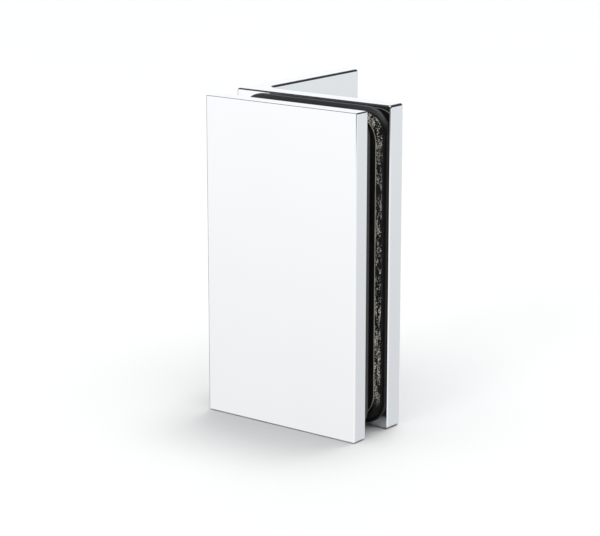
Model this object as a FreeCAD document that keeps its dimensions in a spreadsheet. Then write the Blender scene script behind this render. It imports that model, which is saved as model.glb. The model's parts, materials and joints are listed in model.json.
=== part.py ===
"""Glass-to-wall clamp: an L bracket screwed to a wall holds a glass pane against a front plate.

Frame: millimetres, +Z up, +X away from the wall, -Y towards the front plate.
Origin: on the wall face, midway between the two wall screw holes.
"""
import FreeCAD, Part
import math
import os

import Sketcher

SIZES = {
    # bracket and front plate
    "clamp_height": 90.0,
    "plate_width": 51.0,
    "plate_thickness": 5.0,
    "wall_clearance": 1.5,      # the plate stands this far off the wall plane
    "metal_gap": 10.5,          # from the plate's back to the leg's front, at rest
    "bracket_thickness": 6.0,
    "wing_length": 50.0,        # from the leg's front face to the wing's free end
    "corner_radius": 3.5,       # inside corner of the L
    "bracket_edge": 0.7,
    "leg_front_edge": 0.4,
    "plate_corner": 0.4,
    "plate_long_edge": 0.4,     # the two upright front edges
    "plate_front_edge": 0.12,
    "plate_back_edge": 0.3,
    # the stack of pads on each side of the glass; a margin is measured from the metal's edges
    "front_packer_thickness": 2.1,
    "liner_thickness": 0.6,
    "liner_margin": 0.7,
    "liner_corner": 7.0,
    "rear_packer_thickness": 2.3,
    "rear_packer_margin": 1.4,
    "rear_packer_end_margin": 2.15,
    "rear_packer_corner": 5.5,
    "rear_packer_bevel": 1.1,
    "gasket_thickness": 0.4,
    "gasket_margin": 2.55,
    "gasket_corner": 7.5,
    "pad_hole_radius": 6.3,
    "pad_edge": 0.12,
    # the two clamp screws and what they screw into
    "screw_spacing": 50.0,
    "spigot_radius": 5.0,
    "spigot_depth": 3.5,
    "pillar_radius": 4.5,
    "pillar_reach": 8.4,        # from the plate's back
    "thread_radius": 3.05,
    "pillar_chamfer": 0.5,
    "bush_radius": 6.0,
    "bush_reach": 7.2,          # from the plate's back
    "bush_chamfer": 0.6,
    "press_clearance": 0.02,
    "screw_radius": 3.0,
    "screw_length": 16.0,
    "screw_chamfer": 0.6,
    "head_radius": 6.0,
    "head_land": 0.3,           # straight rim above the head's 90 degree cone
    "socket_flats": 4.0,
    "socket_depth": 2.4,
    "screw_hole_radius": 3.3,
    "seat_clearance": 0.07,     # radial, between the head's cone and its countersink
    # the two countersunk wall screw holes in the wing
    "wall_spacing": 50.0,
    "wall_hole_radius": 2.75,
    "wall_sink_radius": 5.5,
}

doc = FreeCAD.newDocument("glass_wall_clamp")
sheet = doc.addObject("Spreadsheet::Sheet", "Sizes")
for row, (alias, value) in enumerate(SIZES.items(), start=1):
    sheet.set(f"A{row}", alias)
    sheet.set(f"B{row}", str(value))
    sheet.setAlias(f"B{row}", alias)
doc.recompute()

# Places that follow from the sizes, written as expressions on the sheet.
WING_END = "((Sizes.wing_length - Sizes.bracket_thickness) / 2)"
LEG_BACK = f"(-1 * {WING_END})"
LEG_FRONT = f"({LEG_BACK} - Sizes.bracket_thickness)"
PLATE_BACK = f"({LEG_FRONT} - Sizes.metal_gap)"
FRONT_PACKER = f"({PLATE_BACK} + Sizes.front_packer_thickness)"
FRONT_GASKET = f"({FRONT_PACKER} + Sizes.gasket_thickness)"
REAR_PACKER = f"({LEG_FRONT} - Sizes.liner_thickness)"
REAR_GASKET = f"({REAR_PACKER} - Sizes.rear_packer_thickness)"
LEFT = "Sizes.wall_clearance"
RIGHT = f"({LEFT} + Sizes.plate_width)"
MIDDLE = f"({LEFT} + Sizes.plate_width / 2)"
TOP = "(Sizes.clamp_height / 2)"
BOTTOM = f"(-1 * {TOP})"

SMALL = 1e-4
LEAST_CUT = 1.0                 # mm3 that a cut has to take away
OUTSIDE = 1.0                   # how far the profile of an edge cut reaches past the metal
parts = []


def amount(expression):
    """The number, in millimetres, that an expression on the sheet gives."""
    value = sheet.evalExpression(str(expression))
    return float(getattr(value, "Value", value))


def new_body(name):
    """A body of its own for each separate piece."""
    body = doc.addObject("PartDesign::Body", name)
    body.Label = name
    parts.append(body)
    return body


def new_sketch(body, name, role, offset="0"):
    """A sketch on one of its body's origin planes, moved along the plane's normal."""
    plane = next(item for item in body.Origin.OriginFeatures if item.Role == role)
    sketch = body.newObject("Sketcher::SketchObject", name)
    sketch.AttachmentSupport = [(plane, "")]
    sketch.MapMode = "FlatFace"
    sketch.setExpression("AttachmentOffset.Base.z", f"1mm * ({offset})")
    return sketch


def constrain(sketch, value, kind, *where):
    """Adds a dimension to a sketch and binds it to an expression on the sheet."""
    index = sketch.addConstraint(Sketcher.Constraint(kind, *where, amount(value)))
    sketch.setExpression(f"Constraints[{index}]", f"1mm * ({value})")


def place(sketch, geometry, point, across, up):
    """Dimensions one point of a sketch from the origin, both ways."""
    constrain(sketch, across, "DistanceX", -1, 1, geometry, point)
    constrain(sketch, up, "DistanceY", -1, 1, geometry, point)


def outline(sketch, corners):
    """A closed outline of straight lines through corners given as pairs of expressions."""
    points = [FreeCAD.Vector(amount(across), amount(up), 0) for across, up in corners]
    first = sketch.GeometryCount
    for start, end in zip(points, points[1:] + points[:1]):
        sketch.addGeometry(Part.LineSegment(start, end), False)
    for index, (across, up) in enumerate(corners):
        line = first + index
        before = first + (index - 1) % len(corners)
        sketch.addConstraint(Sketcher.Constraint("Coincident", before, 2, line, 1))
        place(sketch, line, 1, across, up)


def outline_with_arc(sketch, corners, centre, radius, start):
    """Straight lines through corners, closed by an anticlockwise quarter arc that begins at an angle."""
    points = [FreeCAD.Vector(amount(across), amount(up), 0) for across, up in corners]
    first = sketch.GeometryCount
    for here, there in zip(points, points[1:]):
        sketch.addGeometry(Part.LineSegment(here, there), False)
    last = sketch.GeometryCount - 1
    middle = FreeCAD.Vector(amount(centre[0]), amount(centre[1]), 0)
    circle = Part.Circle(middle, FreeCAD.Vector(0, 0, 1), amount(radius))
    arc = sketch.addGeometry(Part.ArcOfCircle(circle, start, start + math.pi / 2), False)
    for line, (across, up) in zip(range(first, last + 1), corners):
        place(sketch, line, 1, across, up)
        if line > first:
            sketch.addConstraint(Sketcher.Constraint("Coincident", line - 1, 2, line, 1))
    place(sketch, last, 2, *corners[-1])
    sketch.addConstraint(Sketcher.Constraint("Coincident", last, 2, arc, 1))
    sketch.addConstraint(Sketcher.Constraint("Coincident", arc, 2, first, 1))
    constrain(sketch, radius, "Radius", arc)


def hole_pair(sketch, radius, across, spacing):
    """Two equal circles, one above the other, half the spacing above and below the middle."""
    for sign in (1, -1):
        up = f"{sign} * {spacing} / 2"
        centre = FreeCAD.Vector(amount(across), amount(up), 0)
        ring = sketch.addGeometry(Part.Circle(centre, FreeCAD.Vector(0, 0, 1), amount(radius)), False)
        place(sketch, ring, 3, across, up)
        constrain(sketch, radius, "Radius", ring)


def pad(body, sketch, length, symmetric=False):
    """Extrudes a sketch along its normal."""
    feature = body.newObject("PartDesign::Pad", "Pad")
    feature.Profile = sketch
    feature.setExpression("Length", f"1mm * ({length})")
    feature.SideType = "Symmetric" if symmetric else "One side"
    sketch.Visibility = False
    doc.recompute()


def cut(body, sketch, length, **settings):
    """Cuts a sketch into the body, and makes sure that it took something away."""
    before = body.Shape.Volume
    feature = body.newObject("PartDesign::Pocket", "Pocket")
    feature.Profile = sketch
    for name, value in settings.items():
        setattr(feature, name, value)
    feature.setExpression("Length", f"1mm * ({length})")
    sketch.Visibility = False
    doc.recompute()
    if body.Shape.Volume > before - LEAST_CUT:
        raise RuntimeError(f"{sketch.Label} of {body.Label} cut nothing")


def round_edges(body, radius, wanted):
    """Fillets the edges of the body's last feature that a test on the edge picks."""
    base = body.Tip
    names = [f"Edge{i}" for i, edge in enumerate(base.Shape.Edges, start=1) if wanted(edge)]
    feature = body.newObject("PartDesign::Fillet", "Round")
    feature.Base = (base, names)
    feature.setExpression("Radius", f"1mm * {radius}")
    doc.recompute()


def along(edge, axis):
    """Whether a straight edge runs along one of the three axes, 0 to 2."""
    if edge.Curve.TypeId != "Part::GeomLine":
        return False
    return abs(abs(edge.Curve.Direction[axis]) - 1) < SMALL


def at(edge, axis, value):
    """Whether an edge lies wholly in the plane across one of the three axes at a value."""
    middle = edge.valueAt((edge.FirstParameter + edge.LastParameter) / 2)
    points = [middle] + [vertex.Point for vertex in edge.Vertexes]
    return all(abs(point[axis] - value) < SMALL for point in points)


def countersunk_holes(body, sketch, radius, sink_radius, turned):
    """Countersunk holes right through, from the sketch's circles; turned cuts along its normal."""
    before = body.Shape.Volume
    doc.recompute()
    feature = body.newObject("PartDesign::Hole", "Hole")
    feature.Profile = sketch
    doc.recompute()
    feature.ThreadType = "None"
    feature.DepthType = "ThroughAll"
    feature.HoleCutType = "Countersink"
    feature.HoleCutCustomValues = True
    feature.HoleCutCountersinkAngle = 90
    feature.Reversed = turned
    feature.setExpression("Diameter", f"2mm * {radius}")
    feature.setExpression("HoleCutDiameter", f"2mm * ({sink_radius})")
    doc.recompute()
    if body.Shape.Volume > before - LEAST_CUT:
        raise RuntimeError(f"{feature.Label} of {body.Label} cut nothing")


def make_bracket():
    """One L: the leg behind the glass and the wing on the wall, with their screw holes."""
    body = new_body("l_bracket")
    profile = new_sketch(body, "BracketProfile", "XY_Plane")
    corners = [
        ("0", LEG_FRONT),
        (RIGHT, LEG_FRONT),
        (RIGHT, LEG_BACK),
        ("Sizes.bracket_thickness", LEG_BACK),
        ("Sizes.bracket_thickness", WING_END),
        ("0", WING_END),
    ]
    outline(profile, corners)
    pad(body, profile, "Sizes.clamp_height", symmetric=True)
    inner_x, inner_y = amount(corners[3][0]), amount(corners[3][1])
    leg_front = amount(LEG_FRONT)

    def inside_corner(edge):
        return along(edge, 2) and at(edge, 0, inner_x) and at(edge, 1, inner_y)

    def behind_the_front(edge):
        """All edges but the leg's front ones and the two seams of the inside corner's round."""
        seam = along(edge, 2) and (
            at(edge, 0, inner_x) and not at(edge, 1, amount(WING_END))
            or at(edge, 1, inner_y) and not at(edge, 0, amount(RIGHT))
        )
        return not seam and not at(edge, 1, leg_front)

    round_edges(body, "Sizes.corner_radius", inside_corner)
    round_edges(body, "Sizes.bracket_edge", behind_the_front)
    round_edges(body, "Sizes.leg_front_edge", lambda edge: at(edge, 1, leg_front))
    clamp_holes = new_sketch(body, "ClampHoles", "XZ_Plane", f"-1 * {LEG_BACK}")
    hole_pair(clamp_holes, "Sizes.screw_hole_radius", MIDDLE, "Sizes.screw_spacing")
    head_sink = "Sizes.head_radius + Sizes.head_land + Sizes.seat_clearance"
    countersunk_holes(body, clamp_holes, "Sizes.screw_hole_radius", head_sink, turned=True)
    wall_holes = new_sketch(body, "WallHoles", "YZ_Plane", "Sizes.bracket_thickness")
    hole_pair(wall_holes, "Sizes.wall_hole_radius", "0", "Sizes.wall_spacing")
    countersunk_holes(body, wall_holes, "Sizes.wall_hole_radius", "Sizes.wall_sink_radius", turned=False)


def rectangle(left, right, bottom, top):
    """The four corners of an upright rectangle."""
    return [(left, bottom), (right, bottom), (right, top), (left, top)]


def round_long_edges(body, front):
    """Rounds the plate's two upright front edges more than its short ones."""
    radius = "Sizes.plate_long_edge"
    sketch = new_sketch(body, "LongEdges", "XY_Plane")
    inner = f"{front} + {radius}"
    beyond = f"{front} - {OUTSIDE}"
    for edge, inward, start in ((LEFT, 1, math.pi), (RIGHT, -1, 1.5 * math.pi)):
        middle = f"{edge} + {inward} * {radius}"
        away = f"{edge} - {inward} * {OUTSIDE}"
        corners = [(middle, front), (middle, beyond), (away, beyond), (away, inner), (edge, inner)]
        outline_with_arc(sketch, corners[::inward], (middle, inner), radius, start)
    cut(body, sketch, "Sizes.clamp_height", SideType="Symmetric")


def make_plate():
    """The blank front plate, with two blind seats in its back for the pillars' spigots."""
    body = new_body("clamp_plate")
    profile = new_sketch(body, "PlateProfile", "XZ_Plane", f"-1 * {PLATE_BACK}")
    outline(profile, rectangle(LEFT, RIGHT, BOTTOM, TOP))
    pad(body, profile, "Sizes.plate_thickness")
    front = f"{PLATE_BACK} - Sizes.plate_thickness"
    round_edges(body, "Sizes.plate_corner", lambda edge: along(edge, 1))
    round_edges(body, "Sizes.plate_front_edge", lambda edge: at(edge, 1, amount(front)))
    round_edges(body, "Sizes.plate_back_edge", lambda edge: at(edge, 1, amount(PLATE_BACK)))
    round_long_edges(body, front)
    seats = new_sketch(body, "PillarSeats", "XZ_Plane", f"-1 * {PLATE_BACK}")
    hole_pair(seats, "Sizes.spigot_radius", MIDDLE, "Sizes.screw_spacing")
    cut(body, seats, "Sizes.spigot_depth", Reversed=True)


def bevel_edges(body, size, wanted):
    """Chamfers the edges of the body's last feature that a test on the edge picks."""
    base = body.Tip
    names = [f"Edge{i}" for i, edge in enumerate(base.Shape.Edges, start=1) if wanted(edge)]
    feature = body.newObject("PartDesign::Chamfer", "Bevel")
    feature.Base = (base, names)
    feature.setExpression("Size", f"1mm * {size}")
    doc.recompute()


def make_pad(name, start, thickness, side, end, corner, bevel=None):
    """A flat pad with rounded corners and two holes, which reaches from start towards -Y.

    Its margins from the metal are side, left and right, and end, at the top and the bottom.
    """
    body = new_body(name)
    profile = new_sketch(body, "PadProfile", "XZ_Plane", f"-1 * ({start})")
    edges = (f"{LEFT} + {side}", f"{RIGHT} - {side}", f"{BOTTOM} + {end}", f"{TOP} - {end}")
    outline(profile, rectangle(*edges))
    hole_pair(profile, "Sizes.pad_hole_radius", MIDDLE, "Sizes.screw_spacing")
    pad(body, profile, thickness)
    round_edges(body, corner, lambda edge: along(edge, 1) and len(edge.Vertexes) == 2)
    front = amount(f"{start} - {thickness}")
    back = amount(start)

    def outer(edge):
        """Whether an edge belongs to the outline and not to a hole, whose rim is one closed edge."""
        return len(edge.Vertexes) == 2

    if bevel:
        bevel_edges(body, bevel, lambda edge: outer(edge) and at(edge, 1, front))
        return
    round_edges(
        body, "Sizes.pad_edge", lambda edge: outer(edge) and (at(edge, 1, front) or at(edge, 1, back))
    )


def turned_piece(name, half_profile, start, level):
    """A piece turned about an axis along Y, from pairs of radius and distance behind start."""
    body = new_body(name)
    profile = new_sketch(body, "HalfProfile", "XY_Plane")
    outline(profile, half_profile)
    turning = body.newObject("PartDesign::Revolution", "Turning")
    turning.Profile = profile
    turning.ReferenceAxis = (profile, ["V_Axis"])
    turning.Angle = 360
    body.setExpression("Placement.Base.x", f"1mm * {MIDDLE}")
    body.setExpression("Placement.Base.y", f"1mm * ({start})")
    body.setExpression("Placement.Base.z", f"1mm * ({level})")
    doc.recompute()
    return body


def make_pillar(name, level):
    """A threaded brass pillar, pressed by its wider spigot into the plate's blind seat."""
    chamfer = "Sizes.pillar_chamfer"
    seat = "-1 * Sizes.spigot_depth"
    profile = [
        ("Sizes.thread_radius", seat),
        ("Sizes.spigot_radius", seat),
        ("Sizes.spigot_radius", "0"),
        ("Sizes.pillar_radius", "0"),
        ("Sizes.pillar_radius", f"Sizes.pillar_reach - {chamfer}"),
        (f"Sizes.pillar_radius - {chamfer}", "Sizes.pillar_reach"),
        (f"Sizes.thread_radius + {chamfer}", "Sizes.pillar_reach"),
        ("Sizes.thread_radius", f"Sizes.pillar_reach - {chamfer}"),
    ]
    turned_piece(name, profile, PLATE_BACK, level)


def make_bush(name, level):
    """A plastic bush on the pillar, which keeps the glass off the metal."""
    bore = "Sizes.pillar_radius + Sizes.press_clearance"
    chamfer = "Sizes.bush_chamfer"
    profile = [
        (bore, "0"),
        ("Sizes.bush_radius", "0"),
        ("Sizes.bush_radius", f"Sizes.bush_reach - {chamfer}"),
        (f"Sizes.bush_radius - {chamfer}", "Sizes.bush_reach"),
        (bore, "Sizes.bush_reach"),
    ]
    turned_piece(name, profile, PLATE_BACK, level)


def make_screw(name, level):
    """A countersunk screw with a hexagon socket, its head flush with the leg's back."""
    tip = "-1 * Sizes.screw_length"
    cone_end = "-1 * (Sizes.head_land + Sizes.head_radius - Sizes.screw_radius)"
    profile = [
        ("0", "0"),
        ("Sizes.head_radius", "0"),
        ("Sizes.head_radius", "-1 * Sizes.head_land"),
        ("Sizes.screw_radius", cone_end),
        ("Sizes.screw_radius", f"{tip} + Sizes.screw_chamfer"),
        ("Sizes.screw_radius - Sizes.screw_chamfer", tip),
        ("0", tip),
    ]
    body = turned_piece(name, profile, LEG_BACK, level)
    socket = new_sketch(body, "Socket", "XZ_Plane")
    corner = f"(Sizes.socket_flats / {2 * math.cos(math.pi / 6)})"
    turns = [math.radians(60 * step) for step in range(6)]
    outline(socket, [(f"{corner} * {math.cos(a)}", f"{corner} * {math.sin(a)}") for a in turns])
    cut(body, socket, "Sizes.socket_depth", Reversed=True)


make_bracket()
make_plate()
LINER = ("Sizes.liner_margin", "Sizes.liner_margin", "Sizes.liner_corner")
PACKER = (
    "Sizes.rear_packer_margin",
    "Sizes.rear_packer_end_margin",
    "Sizes.rear_packer_corner",
    "Sizes.rear_packer_bevel",
)
GASKET = ("Sizes.gasket_margin", "Sizes.gasket_margin", "Sizes.gasket_corner")
make_pad("front_packer", FRONT_PACKER, "Sizes.front_packer_thickness", *LINER)
make_pad("front_gasket", FRONT_GASKET, "Sizes.gasket_thickness", *GASKET)
make_pad("rear_liner", LEG_FRONT, "Sizes.liner_thickness", *LINER)
make_pad("rear_packer", REAR_PACKER, "Sizes.rear_packer_thickness", *PACKER)
make_pad("rear_gasket", REAR_GASKET, "Sizes.gasket_thickness", *GASKET)
for side, sign in (("upper", 1), ("lower", -1)):
    height = f"{sign} * Sizes.screw_spacing / 2"
    make_pillar(f"threaded_pillar_{side}", height)
    make_bush(f"glass_bush_{side}", height)
    make_screw(f"clamp_screw_{side}", height)

doc.recompute()
for item in doc.Objects:
    if {"Invalid", "Error"} & set(item.State):
        raise RuntimeError(f"{item.Label} failed: {item.State}")
for body in parts:
    if body.Shape.isNull() or not body.Shape.isValid() or len(body.Shape.Solids) != 1:
        raise RuntimeError(f"{body.Label} isn't one valid solid")

os.makedirs("parts", exist_ok=True)
for body in parts:
    body.Shape.exportStep(os.path.join("parts", f"{body.Label}.step"))
    box = body.Shape.optimalBoundingBox(True, False)
    low = (round(box.XMin, 3), round(box.YMin, 3), round(box.ZMin, 3))
    high = (round(box.XMax, 3), round(box.YMax, 3), round(box.ZMax, 3))
    print(f"{body.Label:24} {low} to {high} volume {body.Shape.Volume:.2f}")
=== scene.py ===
"""Looks for the glass-to-wall clamp: chrome, rubber, brass, nylon and steel in a white studio."""
import json
import math

import bpy
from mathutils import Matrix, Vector


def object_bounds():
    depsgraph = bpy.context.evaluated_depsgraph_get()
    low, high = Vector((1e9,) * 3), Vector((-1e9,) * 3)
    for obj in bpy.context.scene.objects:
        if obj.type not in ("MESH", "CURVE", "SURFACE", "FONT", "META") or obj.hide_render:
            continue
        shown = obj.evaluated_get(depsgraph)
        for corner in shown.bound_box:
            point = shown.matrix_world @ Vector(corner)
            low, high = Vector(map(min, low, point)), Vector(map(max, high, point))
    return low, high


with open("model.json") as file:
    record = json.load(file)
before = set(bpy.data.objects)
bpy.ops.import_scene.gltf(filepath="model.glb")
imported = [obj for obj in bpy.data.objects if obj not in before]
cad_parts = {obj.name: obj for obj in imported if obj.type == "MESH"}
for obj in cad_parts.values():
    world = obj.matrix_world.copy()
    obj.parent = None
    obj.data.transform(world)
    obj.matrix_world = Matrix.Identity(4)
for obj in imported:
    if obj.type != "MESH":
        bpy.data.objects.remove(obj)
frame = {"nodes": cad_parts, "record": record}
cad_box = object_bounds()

MM = 0.001
CENTRE = (cad_box[0] + cad_box[1]) / 2
LOWEST_Z = cad_box[0].z

# The rear packer's pale grains, partly a real grain texture and partly painted glints: their size, and
# how thickly they lie at each height, all in millimetres. The height table is painted light: no grains
# at the bottom is painted shade, and the most at the top is a painted highlight. The grains are a
# little taller than wide, and gather in upright streaks.
GRAIN_SIZE = 0.13
GRAIN_SHAPE = (1, 1, 0.6)
STREAK_WIDTH = 0.7
STREAK_SHAPE = (1, 1, 0.2)
GRAINS_AND_PAINTED_LIGHT_BY_HEIGHT = (
    (-43.0, 0.0), (-38.5, 0.0), (-34.5, 1.0), (8.0, 1.0),
    (20.0, 0.6), (32.0, 0.6), (40.0, 1.3), (43.0, 1.3),
)
# A painted pool of light on the rear liner at each height: only its upper end, where light from above
# falls into the slot, is paler.
PAINTED_TOP_LIGHT_BY_HEIGHT = ((-43.0, 0.0), (39.0, 0.0), (42.0, 1.0), (44.3, 1.0))

# The floor lies a hair below the clamp, so that a thin dark line shows under its foot.
FLOOR_REACH = 6.0               # half the floor's width, in metres
FLOOR_DROP = 0.25 * MM          # below the clamp's lowest point
SHADE_DROP = 0.24 * MM          # the same for the patch in the clamp's own shade

# The camera, aimed at a point near the clamp's middle.
VIEW_AZIMUTH = math.radians(37.36)
VIEW_ELEVATION = math.radians(13.85)
VIEW_DISTANCE = 572.6 * MM
VIEW_AIM = CENTRE + Vector((-10.0, -9.5, -6.2)) * MM
LENS = 120.6
SENSOR = 36.0

# The backdrop is a white sweep that rises behind the clamp and falls away towards the camera, under a
# dark roof with one bright panel. Its glow is set by the height of the direction along a leaning axis,
# from -1 straight down to 1 straight up.
SWEEP_AXIS = (0.142, -0.186, 0.972)
GLOW_BY_HEIGHT = (
    (-1.0, 0.70), (-0.6, 0.74), (-0.36, 0.80), (-0.24, 0.885), (-0.09, 1.0),
    (0.04, 1.0), (0.06, 0.055), (0.72, 0.055), (0.85, 1.0),
)
BRIGHT_SIDE = (-0.61, -0.79, 0.0)
BRIGHT_SIDE_GLOW = (1.20, 1.20, 1.20)
DIM_SIDE_GLOW = (0.995, 1.02, 1.04)
# A dark flag on the left, which draws the chrome's left edges as thin grey lines.
FLAG_SIDE = (-1.0, 0.0, 0.0)
FLAG_START = 0.80
FLAG_END = 0.90
FLAG_GLOW = 0.10
# Each softbox: azimuth from +X, tilt from overhead, width, all in degrees, and strength.
SOFTBOXES = {
    "overhead_softbox": (120, 15, 110, 1.27),
    "back_softbox": (90, 15, 20, 1.0),
    "front_fill": (270, 60, 20, 0.39),
}


# ---------------------------------------------------------------- materials

def new_material(name):
    """An empty node material and its surface shader."""
    material = bpy.data.materials.new(name)
    material.use_nodes = True
    nodes = material.node_tree.nodes
    nodes.clear()
    output = nodes.new("ShaderNodeOutputMaterial")
    shader = nodes.new("ShaderNodeBsdfPrincipled")
    material.node_tree.links.new(shader.outputs["BSDF"], output.inputs["Surface"])
    return material, shader


def add(owner, kind, **settings):
    """A node in a material or the world, with its settings and unlinked input values."""
    node = owner.node_tree.nodes.new(kind)
    for key, value in settings.items():
        name = key.replace("_", " ")
        socket = next((s for s in node.inputs if s.name.lower() == name.lower()), None)
        if socket is not None and not hasattr(node, key):
            socket.default_value = value
        else:
            setattr(node, key, value)
    return node


def link(owner, source, target):
    """Feeds one node's output into another's input."""
    owner.node_tree.links.new(source, target)


def object_position(material, scale=(1, 1, 1)):
    """Where a point lies on the piece, in millimetres, stretched by scale."""
    place = add(material, "ShaderNodeTexCoord")
    stretch = add(material, "ShaderNodeMapping")
    stretch.inputs["Scale"].default_value = tuple(s / MM for s in scale)
    link(material, place.outputs["Object"], stretch.inputs["Vector"])
    return stretch.outputs["Vector"]


def noise(material, size, detail=3.0, roughness=0.5, scale=(1, 1, 1)):
    """Noise whose blobs are about size millimetres across, from 0 to 1."""
    node = add(material, "ShaderNodeTexNoise", Detail=detail, Roughness=roughness)
    node.inputs["Scale"].default_value = 1 / size
    link(material, object_position(material, scale), node.inputs["Vector"])
    return node.outputs["Fac"]


def remap(owner, source, low, high, start=0.0, end=1.0):
    """A factor rescaled so that start to end becomes low to high, and held beyond that."""
    node = add(owner, "ShaderNodeMapRange")
    for name, value in (("From Min", start), ("From Max", end), ("To Min", low), ("To Max", high)):
        node.inputs[name].default_value = value
    link(owner, source, node.inputs["Value"])
    return node.outputs["Result"]


def blend_colours(owner, factor, low, high):
    """A colour between two, by a factor."""
    node = add(owner, "ShaderNodeMix", data_type="RGBA")
    node.inputs["A"].default_value = (*low, 1)
    node.inputs["B"].default_value = (*high, 1)
    link(owner, factor, node.inputs["Factor"])
    return node.outputs["Result"]


def look_up(owner, source, table):
    """What a table of places and values gives for a source, in straight lines between its places."""
    start, end = table[0][0], table[-1][0]
    ramp = add(owner, "ShaderNodeValToRGB")
    stops = ramp.color_ramp.elements
    while len(stops) < len(table):
        stops.new(0.5)
    for stop, (place, value) in zip(stops, table):
        stop.position = (place - start) / (end - start)
        stop.color = (value, value, value, 1)
    link(owner, remap(owner, source, 0.0, 1.0, start, end), ramp.inputs["Fac"])
    return ramp.outputs["Color"]


def by_height(material, table):
    """A factor set by how high a point lies on the piece, from a table of heights and factors."""
    split = add(material, "ShaderNodeSeparateXYZ")
    link(material, object_position(material), split.inputs["Vector"])
    return look_up(material, split.outputs["Z"], table)


def facing_the_glass(material):
    """How squarely a point faces the glass: 1 on a pad's broad faces and 0 on its edges."""
    place = add(material, "ShaderNodeTexCoord")
    split = add(material, "ShaderNodeSeparateXYZ")
    link(material, place.outputs["Normal"], split.inputs["Vector"])
    size = add(material, "ShaderNodeMath", operation="ABSOLUTE")
    link(material, split.outputs["Y"], size.inputs[0])
    return size.outputs["Value"]


def product(material, first, second):
    """Two factors multiplied together."""
    node = add(material, "ShaderNodeMath", operation="MULTIPLY")
    link(material, first, node.inputs[0])
    link(material, second, node.inputs[1])
    return node.outputs["Value"]


def bump(material, shader, height, depth, before=None):
    """Raises the surface by a height map, depth millimetres deep."""
    node = add(material, "ShaderNodeBump")
    node.inputs["Distance"].default_value = depth * MM
    link(material, height, node.inputs["Height"])
    if before is not None:
        link(material, before, node.inputs["Normal"])
    link(material, node.outputs["Normal"], shader.inputs["Normal"])
    return node.outputs["Normal"]


def polished_chrome():
    """Mirror chrome: faint waviness, hairline polishing marks and wiped smears."""
    material, shader = new_material("polished_chrome")
    shader.inputs["Metallic"].default_value = 1.0
    smears = noise(material, 14.0, detail=4.0, scale=(1, 1, 0.5))
    hairlines = noise(material, 0.25, detail=2.0, scale=(1, 1, 0.02))
    tone = blend_colours(material, smears, (0.795, 0.81, 0.825), (0.815, 0.83, 0.845))
    link(material, tone, shader.inputs["Base Color"])
    link(material, remap(material, smears, 0.02, 0.07, 0.3, 0.75), shader.inputs["Roughness"])
    waves = noise(material, 30.0, detail=1.0)
    normal = bump(material, shader, waves, 0.01)
    bump(material, shader, hairlines, 0.00004, normal)
    return material


def packer_black():
    """Rubber granulate: pale mineral grains, partly painted glints, show in its sawn faces and not in
    its moulded edge, with painted shade at the bottom and a painted highlight at the top.
    """
    material, shader = new_material("packer_black")
    cells = add(material, "ShaderNodeTexVoronoi")
    cells.inputs["Scale"].default_value = 1 / GRAIN_SIZE
    link(material, object_position(material, GRAIN_SHAPE), cells.inputs["Vector"])
    lot = add(material, "ShaderNodeSeparateColor")
    link(material, cells.outputs["Color"], lot.inputs["Color"])
    drift = noise(material, STREAK_WIDTH, detail=3.0, roughness=0.6, scale=STREAK_SHAPE)
    chance = remap(material, drift, 0.99, 0.2, 0.42, 0.68)
    picked = add(material, "ShaderNodeMath", operation="GREATER_THAN")
    link(material, lot.outputs["Red"], picked.inputs[0])
    link(material, chance, picked.inputs[1])
    core = remap(material, cells.outputs["Distance"], 1.2, 0.7)
    pale = product(material, picked.outputs["Value"], core)
    sawn = remap(material, facing_the_glass(material), 0.05, 1.6)
    # Grain strength by height is painted light: none at the bottom as painted shade, most at the top
    # as a painted highlight.
    grains_and_painted_light = product(material, sawn, by_height(material, GRAINS_AND_PAINTED_LIGHT_BY_HEIGHT))
    grains_and_painted_glints = product(material, product(material, pale, lot.outputs["Green"]), grains_and_painted_light)
    colour = blend_colours(material, grains_and_painted_glints, (0.012, 0.012, 0.012), (0.95, 0.90, 0.80))
    link(material, colour, shader.inputs["Base Color"])
    link(material, remap(material, pale, 0.62, 0.25), shader.inputs["Roughness"])
    shader.inputs["Specular IOR Level"].default_value = 0.1
    pits = noise(material, 0.25, detail=4.0, roughness=0.7)
    normal = bump(material, shader, pits, 0.08)
    bump(material, shader, pale, 0.03, normal)
    return material


def smooth_rubber(name, dark, pale):
    """Smooth rubber, clouded between two tones, with a dull sheen."""
    material, shader = new_material(name)
    cloud = noise(material, 3.0, detail=5.0)
    link(material, blend_colours(material, cloud, dark, pale), shader.inputs["Base Color"])
    link(material, remap(material, cloud, 0.42, 0.6), shader.inputs["Roughness"])
    shader.inputs["Specular IOR Level"].default_value = 0.3
    bump(material, shader, noise(material, 0.2, detail=2.0), 0.01)
    return material, shader


def lay_over(material, shader, tint, factor):
    """Lays a fixed tint over the shader's own colour, by a factor."""
    colour = shader.inputs["Base Color"]
    node = add(material, "ShaderNodeMix", data_type="RGBA")
    link(material, colour.links[0].from_socket, node.inputs["A"])
    node.inputs["B"].default_value = (*tint, 1)
    link(material, factor, node.inputs["Factor"])
    link(material, node.outputs["Result"], colour)


def packer_rubber():
    """Smooth solid rubber, a little grey."""
    material, _ = smooth_rubber("packer_rubber", (0.025, 0.025, 0.026), (0.05, 0.05, 0.051))
    return material


def liner_rubber():
    """Thin calendered rubber sheet, black, with a painted pool of light along its upper end."""
    material, shader = smooth_rubber("liner_rubber", (0.008, 0.008, 0.009), (0.018, 0.018, 0.019))
    # Pale grey over the upper end: painted light from above.
    lay_over(material, shader, (0.105, 0.107, 0.112), by_height(material, PAINTED_TOP_LIGHT_BY_HEIGHT))
    return material


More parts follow.
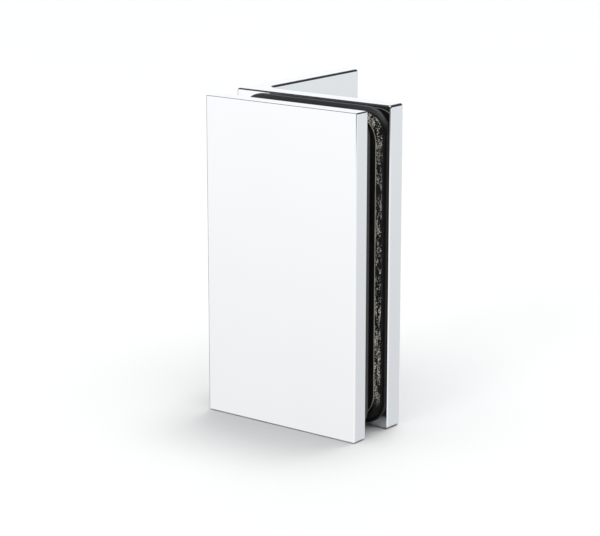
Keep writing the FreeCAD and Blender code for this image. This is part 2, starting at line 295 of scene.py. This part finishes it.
def gasket_rubber():
    """Soft satin rubber, smooth on its faces, with a paler painted highlight on its edge all round."""
    material, shader = smooth_rubber("gasket_rubber", (0.008, 0.008, 0.009), (0.02, 0.02, 0.021))
    # The paler tint on the edges is a painted highlight, where the edge catches light.
    painted_edge_highlight = remap(material, facing_the_glass(material), 1.0, 0.0, 0.35, 0.75)
    lay_over(material, shader, (0.42, 0.40, 0.32), painted_edge_highlight)
    return material


def brass():
    """Turned brass with fine rings round the pillar's own axis."""
    material, shader = new_material("brass")
    shader.inputs["Metallic"].default_value = 1.0
    rings = noise(material, 0.2, detail=3.0, scale=(0.02, 1, 0.02))
    stain = noise(material, 2.5, detail=4.0)
    tone = blend_colours(material, stain, (0.62, 0.44, 0.18), (0.78, 0.60, 0.30))
    link(material, tone, shader.inputs["Base Color"])
    link(material, remap(material, stain, 0.18, 0.38), shader.inputs["Roughness"])
    bump(material, shader, rings, 0.02)
    return material


def bush_plastic():
    """Natural nylon: milky, slightly translucent, with mould texture."""
    material, shader = new_material("bush_plastic")
    cloud = noise(material, 2.0, detail=3.0)
    tone = blend_colours(material, cloud, (0.74, 0.73, 0.68), (0.84, 0.83, 0.78))
    link(material, tone, shader.inputs["Base Color"])
    shader.inputs["Subsurface Weight"].default_value = 0.3
    shader.inputs["Subsurface Radius"].default_value = (1.0 * MM, 0.9 * MM, 0.7 * MM)
    link(material, remap(material, cloud, 0.35, 0.5), shader.inputs["Roughness"])
    bump(material, shader, noise(material, 0.2), 0.01)
    return material


def screw_steel():
    """Plain stainless steel with turning marks."""
    material, shader = new_material("screw_steel")
    shader.inputs["Metallic"].default_value = 1.0
    marks = noise(material, 0.12, detail=3.0, scale=(0.1, 1, 0.1))
    cloud = noise(material, 1.5, detail=3.0)
    tone = blend_colours(material, cloud, (0.52, 0.52, 0.53), (0.66, 0.66, 0.67))
    link(material, tone, shader.inputs["Base Color"])
    link(material, remap(material, cloud, 0.2, 0.36), shader.inputs["Roughness"])
    bump(material, shader, marks, 0.01)
    return material


def studio_floor_paint():
    """Matt white paper for the floor, with a trace of mottle."""
    material, shader = new_material("studio_floor")
    mottle = noise(material, 90.0, detail=2.0)
    tone = blend_colours(material, mottle, (0.86, 0.86, 0.862), (0.88, 0.88, 0.88))
    link(material, tone, shader.inputs["Base Color"])
    shader.inputs["Roughness"].default_value = 0.6
    shader.inputs["Specular IOR Level"].default_value = 0.2
    return material


def dress_nodes():
    """Gives every CAD node the finish of its slot in the record."""
    makers = (
        polished_chrome, packer_black, packer_rubber, liner_rubber, gasket_rubber,
        brass, bush_plastic, screw_steel,
    )
    finishes = {maker.__name__: maker() for maker in makers}
    for subpart in frame["record"]["subparts"]:
        node = frame["nodes"][subpart["node"]]
        for place in node.material_slots:
            place.material = finishes[subpart["material_slot"]]


# ---------------------------------------------------------------- studio

def floor_piece(name, half_x, half_y, drop, paint):
    """A level rectangle centred under the clamp, a drop below the clamp's lowest point."""
    corners = [(-half_x, -half_y, 0), (half_x, -half_y, 0), (half_x, half_y, 0), (-half_x, half_y, 0)]
    mesh = bpy.data.meshes.new(name)
    mesh.from_pydata(corners, [], [(0, 1, 2, 3)])
    mesh.materials.append(paint)
    piece = bpy.data.objects.new(name, mesh)
    bpy.context.scene.collection.objects.link(piece)
    piece.location = (CENTRE.x, CENTRE.y, LOWEST_Z - drop)
    return piece


def studio_floor():
    """A wide plain floor. Only its patch in the clamp's own shade shows in the chrome."""
    paint = studio_floor_paint()
    floor_piece("studio_floor", FLOOR_REACH, FLOOR_REACH, FLOOR_DROP, paint).visible_glossy = False
    half = (cad_box[1] - cad_box[0]) / 2
    floor_piece("shaded_floor", half.x, half.y, SHADE_DROP, paint)


def along_axis(world, place, axis):
    """How far a direction points along an axis, from -1 to 1."""
    node = add(world, "ShaderNodeVectorMath", operation="DOT_PRODUCT")
    node.inputs[1].default_value = axis
    link(world, place.outputs["Generated"], node.inputs[0])
    return node.outputs["Value"]


def studio_world():
    """The sweep, its roof and its flag, as a glow that depends on direction only."""
    world = bpy.data.worlds.new("studio")
    bpy.context.scene.world = world
    world.use_nodes = True
    world.node_tree.nodes.clear()
    place = add(world, "ShaderNodeTexCoord")

    sweep = look_up(world, along_axis(world, place, SWEEP_AXIS), GLOW_BY_HEIGHT)
    side = remap(world, along_axis(world, place, BRIGHT_SIDE), 0.0, 1.0, -1.0, 1.0)
    tint = blend_colours(world, side, DIM_SIDE_GLOW, BRIGHT_SIDE_GLOW)
    both = add(world, "ShaderNodeVectorMath", operation="MULTIPLY")
    link(world, sweep, both.inputs[0])
    link(world, tint, both.inputs[1])

    flag = remap(world, along_axis(world, place, FLAG_SIDE), 1.0, FLAG_GLOW, FLAG_START, FLAG_END)
    glow = add(world, "ShaderNodeBackground")
    link(world, both.outputs["Vector"], glow.inputs["Color"])
    link(world, flag, glow.inputs["Strength"])
    output = add(world, "ShaderNodeOutputWorld")
    link(world, glow.outputs["Background"], output.inputs["Surface"])


def soft_light(name, azimuth, tilt, width, strength):
    """A distant softbox width degrees across, tilted from overhead towards an azimuth from +X.

    The chrome doesn't mirror it: it mirrors the backdrop only.
    """
    lamp = bpy.data.lights.new(name, "SUN")
    lamp.angle = math.radians(width)
    lamp.energy = strength
    light = bpy.data.objects.new(name, lamp)
    bpy.context.scene.collection.objects.link(light)
    turn, lean = math.radians(azimuth), math.radians(tilt)
    away = Vector((math.sin(lean) * math.cos(turn), math.sin(lean) * math.sin(turn), math.cos(lean)))
    light.location = CENTRE + away
    light.rotation_euler = (-away).to_track_quat("-Z", "Y").to_euler()
    light.visible_glossy = False


def studio_lights():
    """A very large softbox overhead, a small one beside it and a low fill from the front."""
    for name, (azimuth, tilt, width, strength) in SOFTBOXES.items():
        soft_light(name, azimuth, tilt, width, strength)


def camera():
    """Looks at the clamp from its front right, a little from above."""
    data = bpy.data.cameras.new("camera")
    data.lens = LENS
    data.sensor_width = SENSOR
    data.clip_start = 0.01
    data.clip_end = 50.0
    eye = bpy.data.objects.new("camera", data)
    bpy.context.scene.collection.objects.link(eye)
    turn, level = VIEW_AZIMUTH, math.cos(VIEW_ELEVATION)
    back = Vector((math.sin(turn) * level, -math.cos(turn) * level, math.sin(VIEW_ELEVATION)))
    eye.location = VIEW_AIM + back * VIEW_DISTANCE
    eye.rotation_euler = (-back).to_track_quat("-Z", "Y").to_euler()
    bpy.context.scene.camera = eye


dress_nodes()
studio_floor()
studio_world()
studio_lights()
camera()
bpy.context.scene.view_settings.view_transform = "Standard"
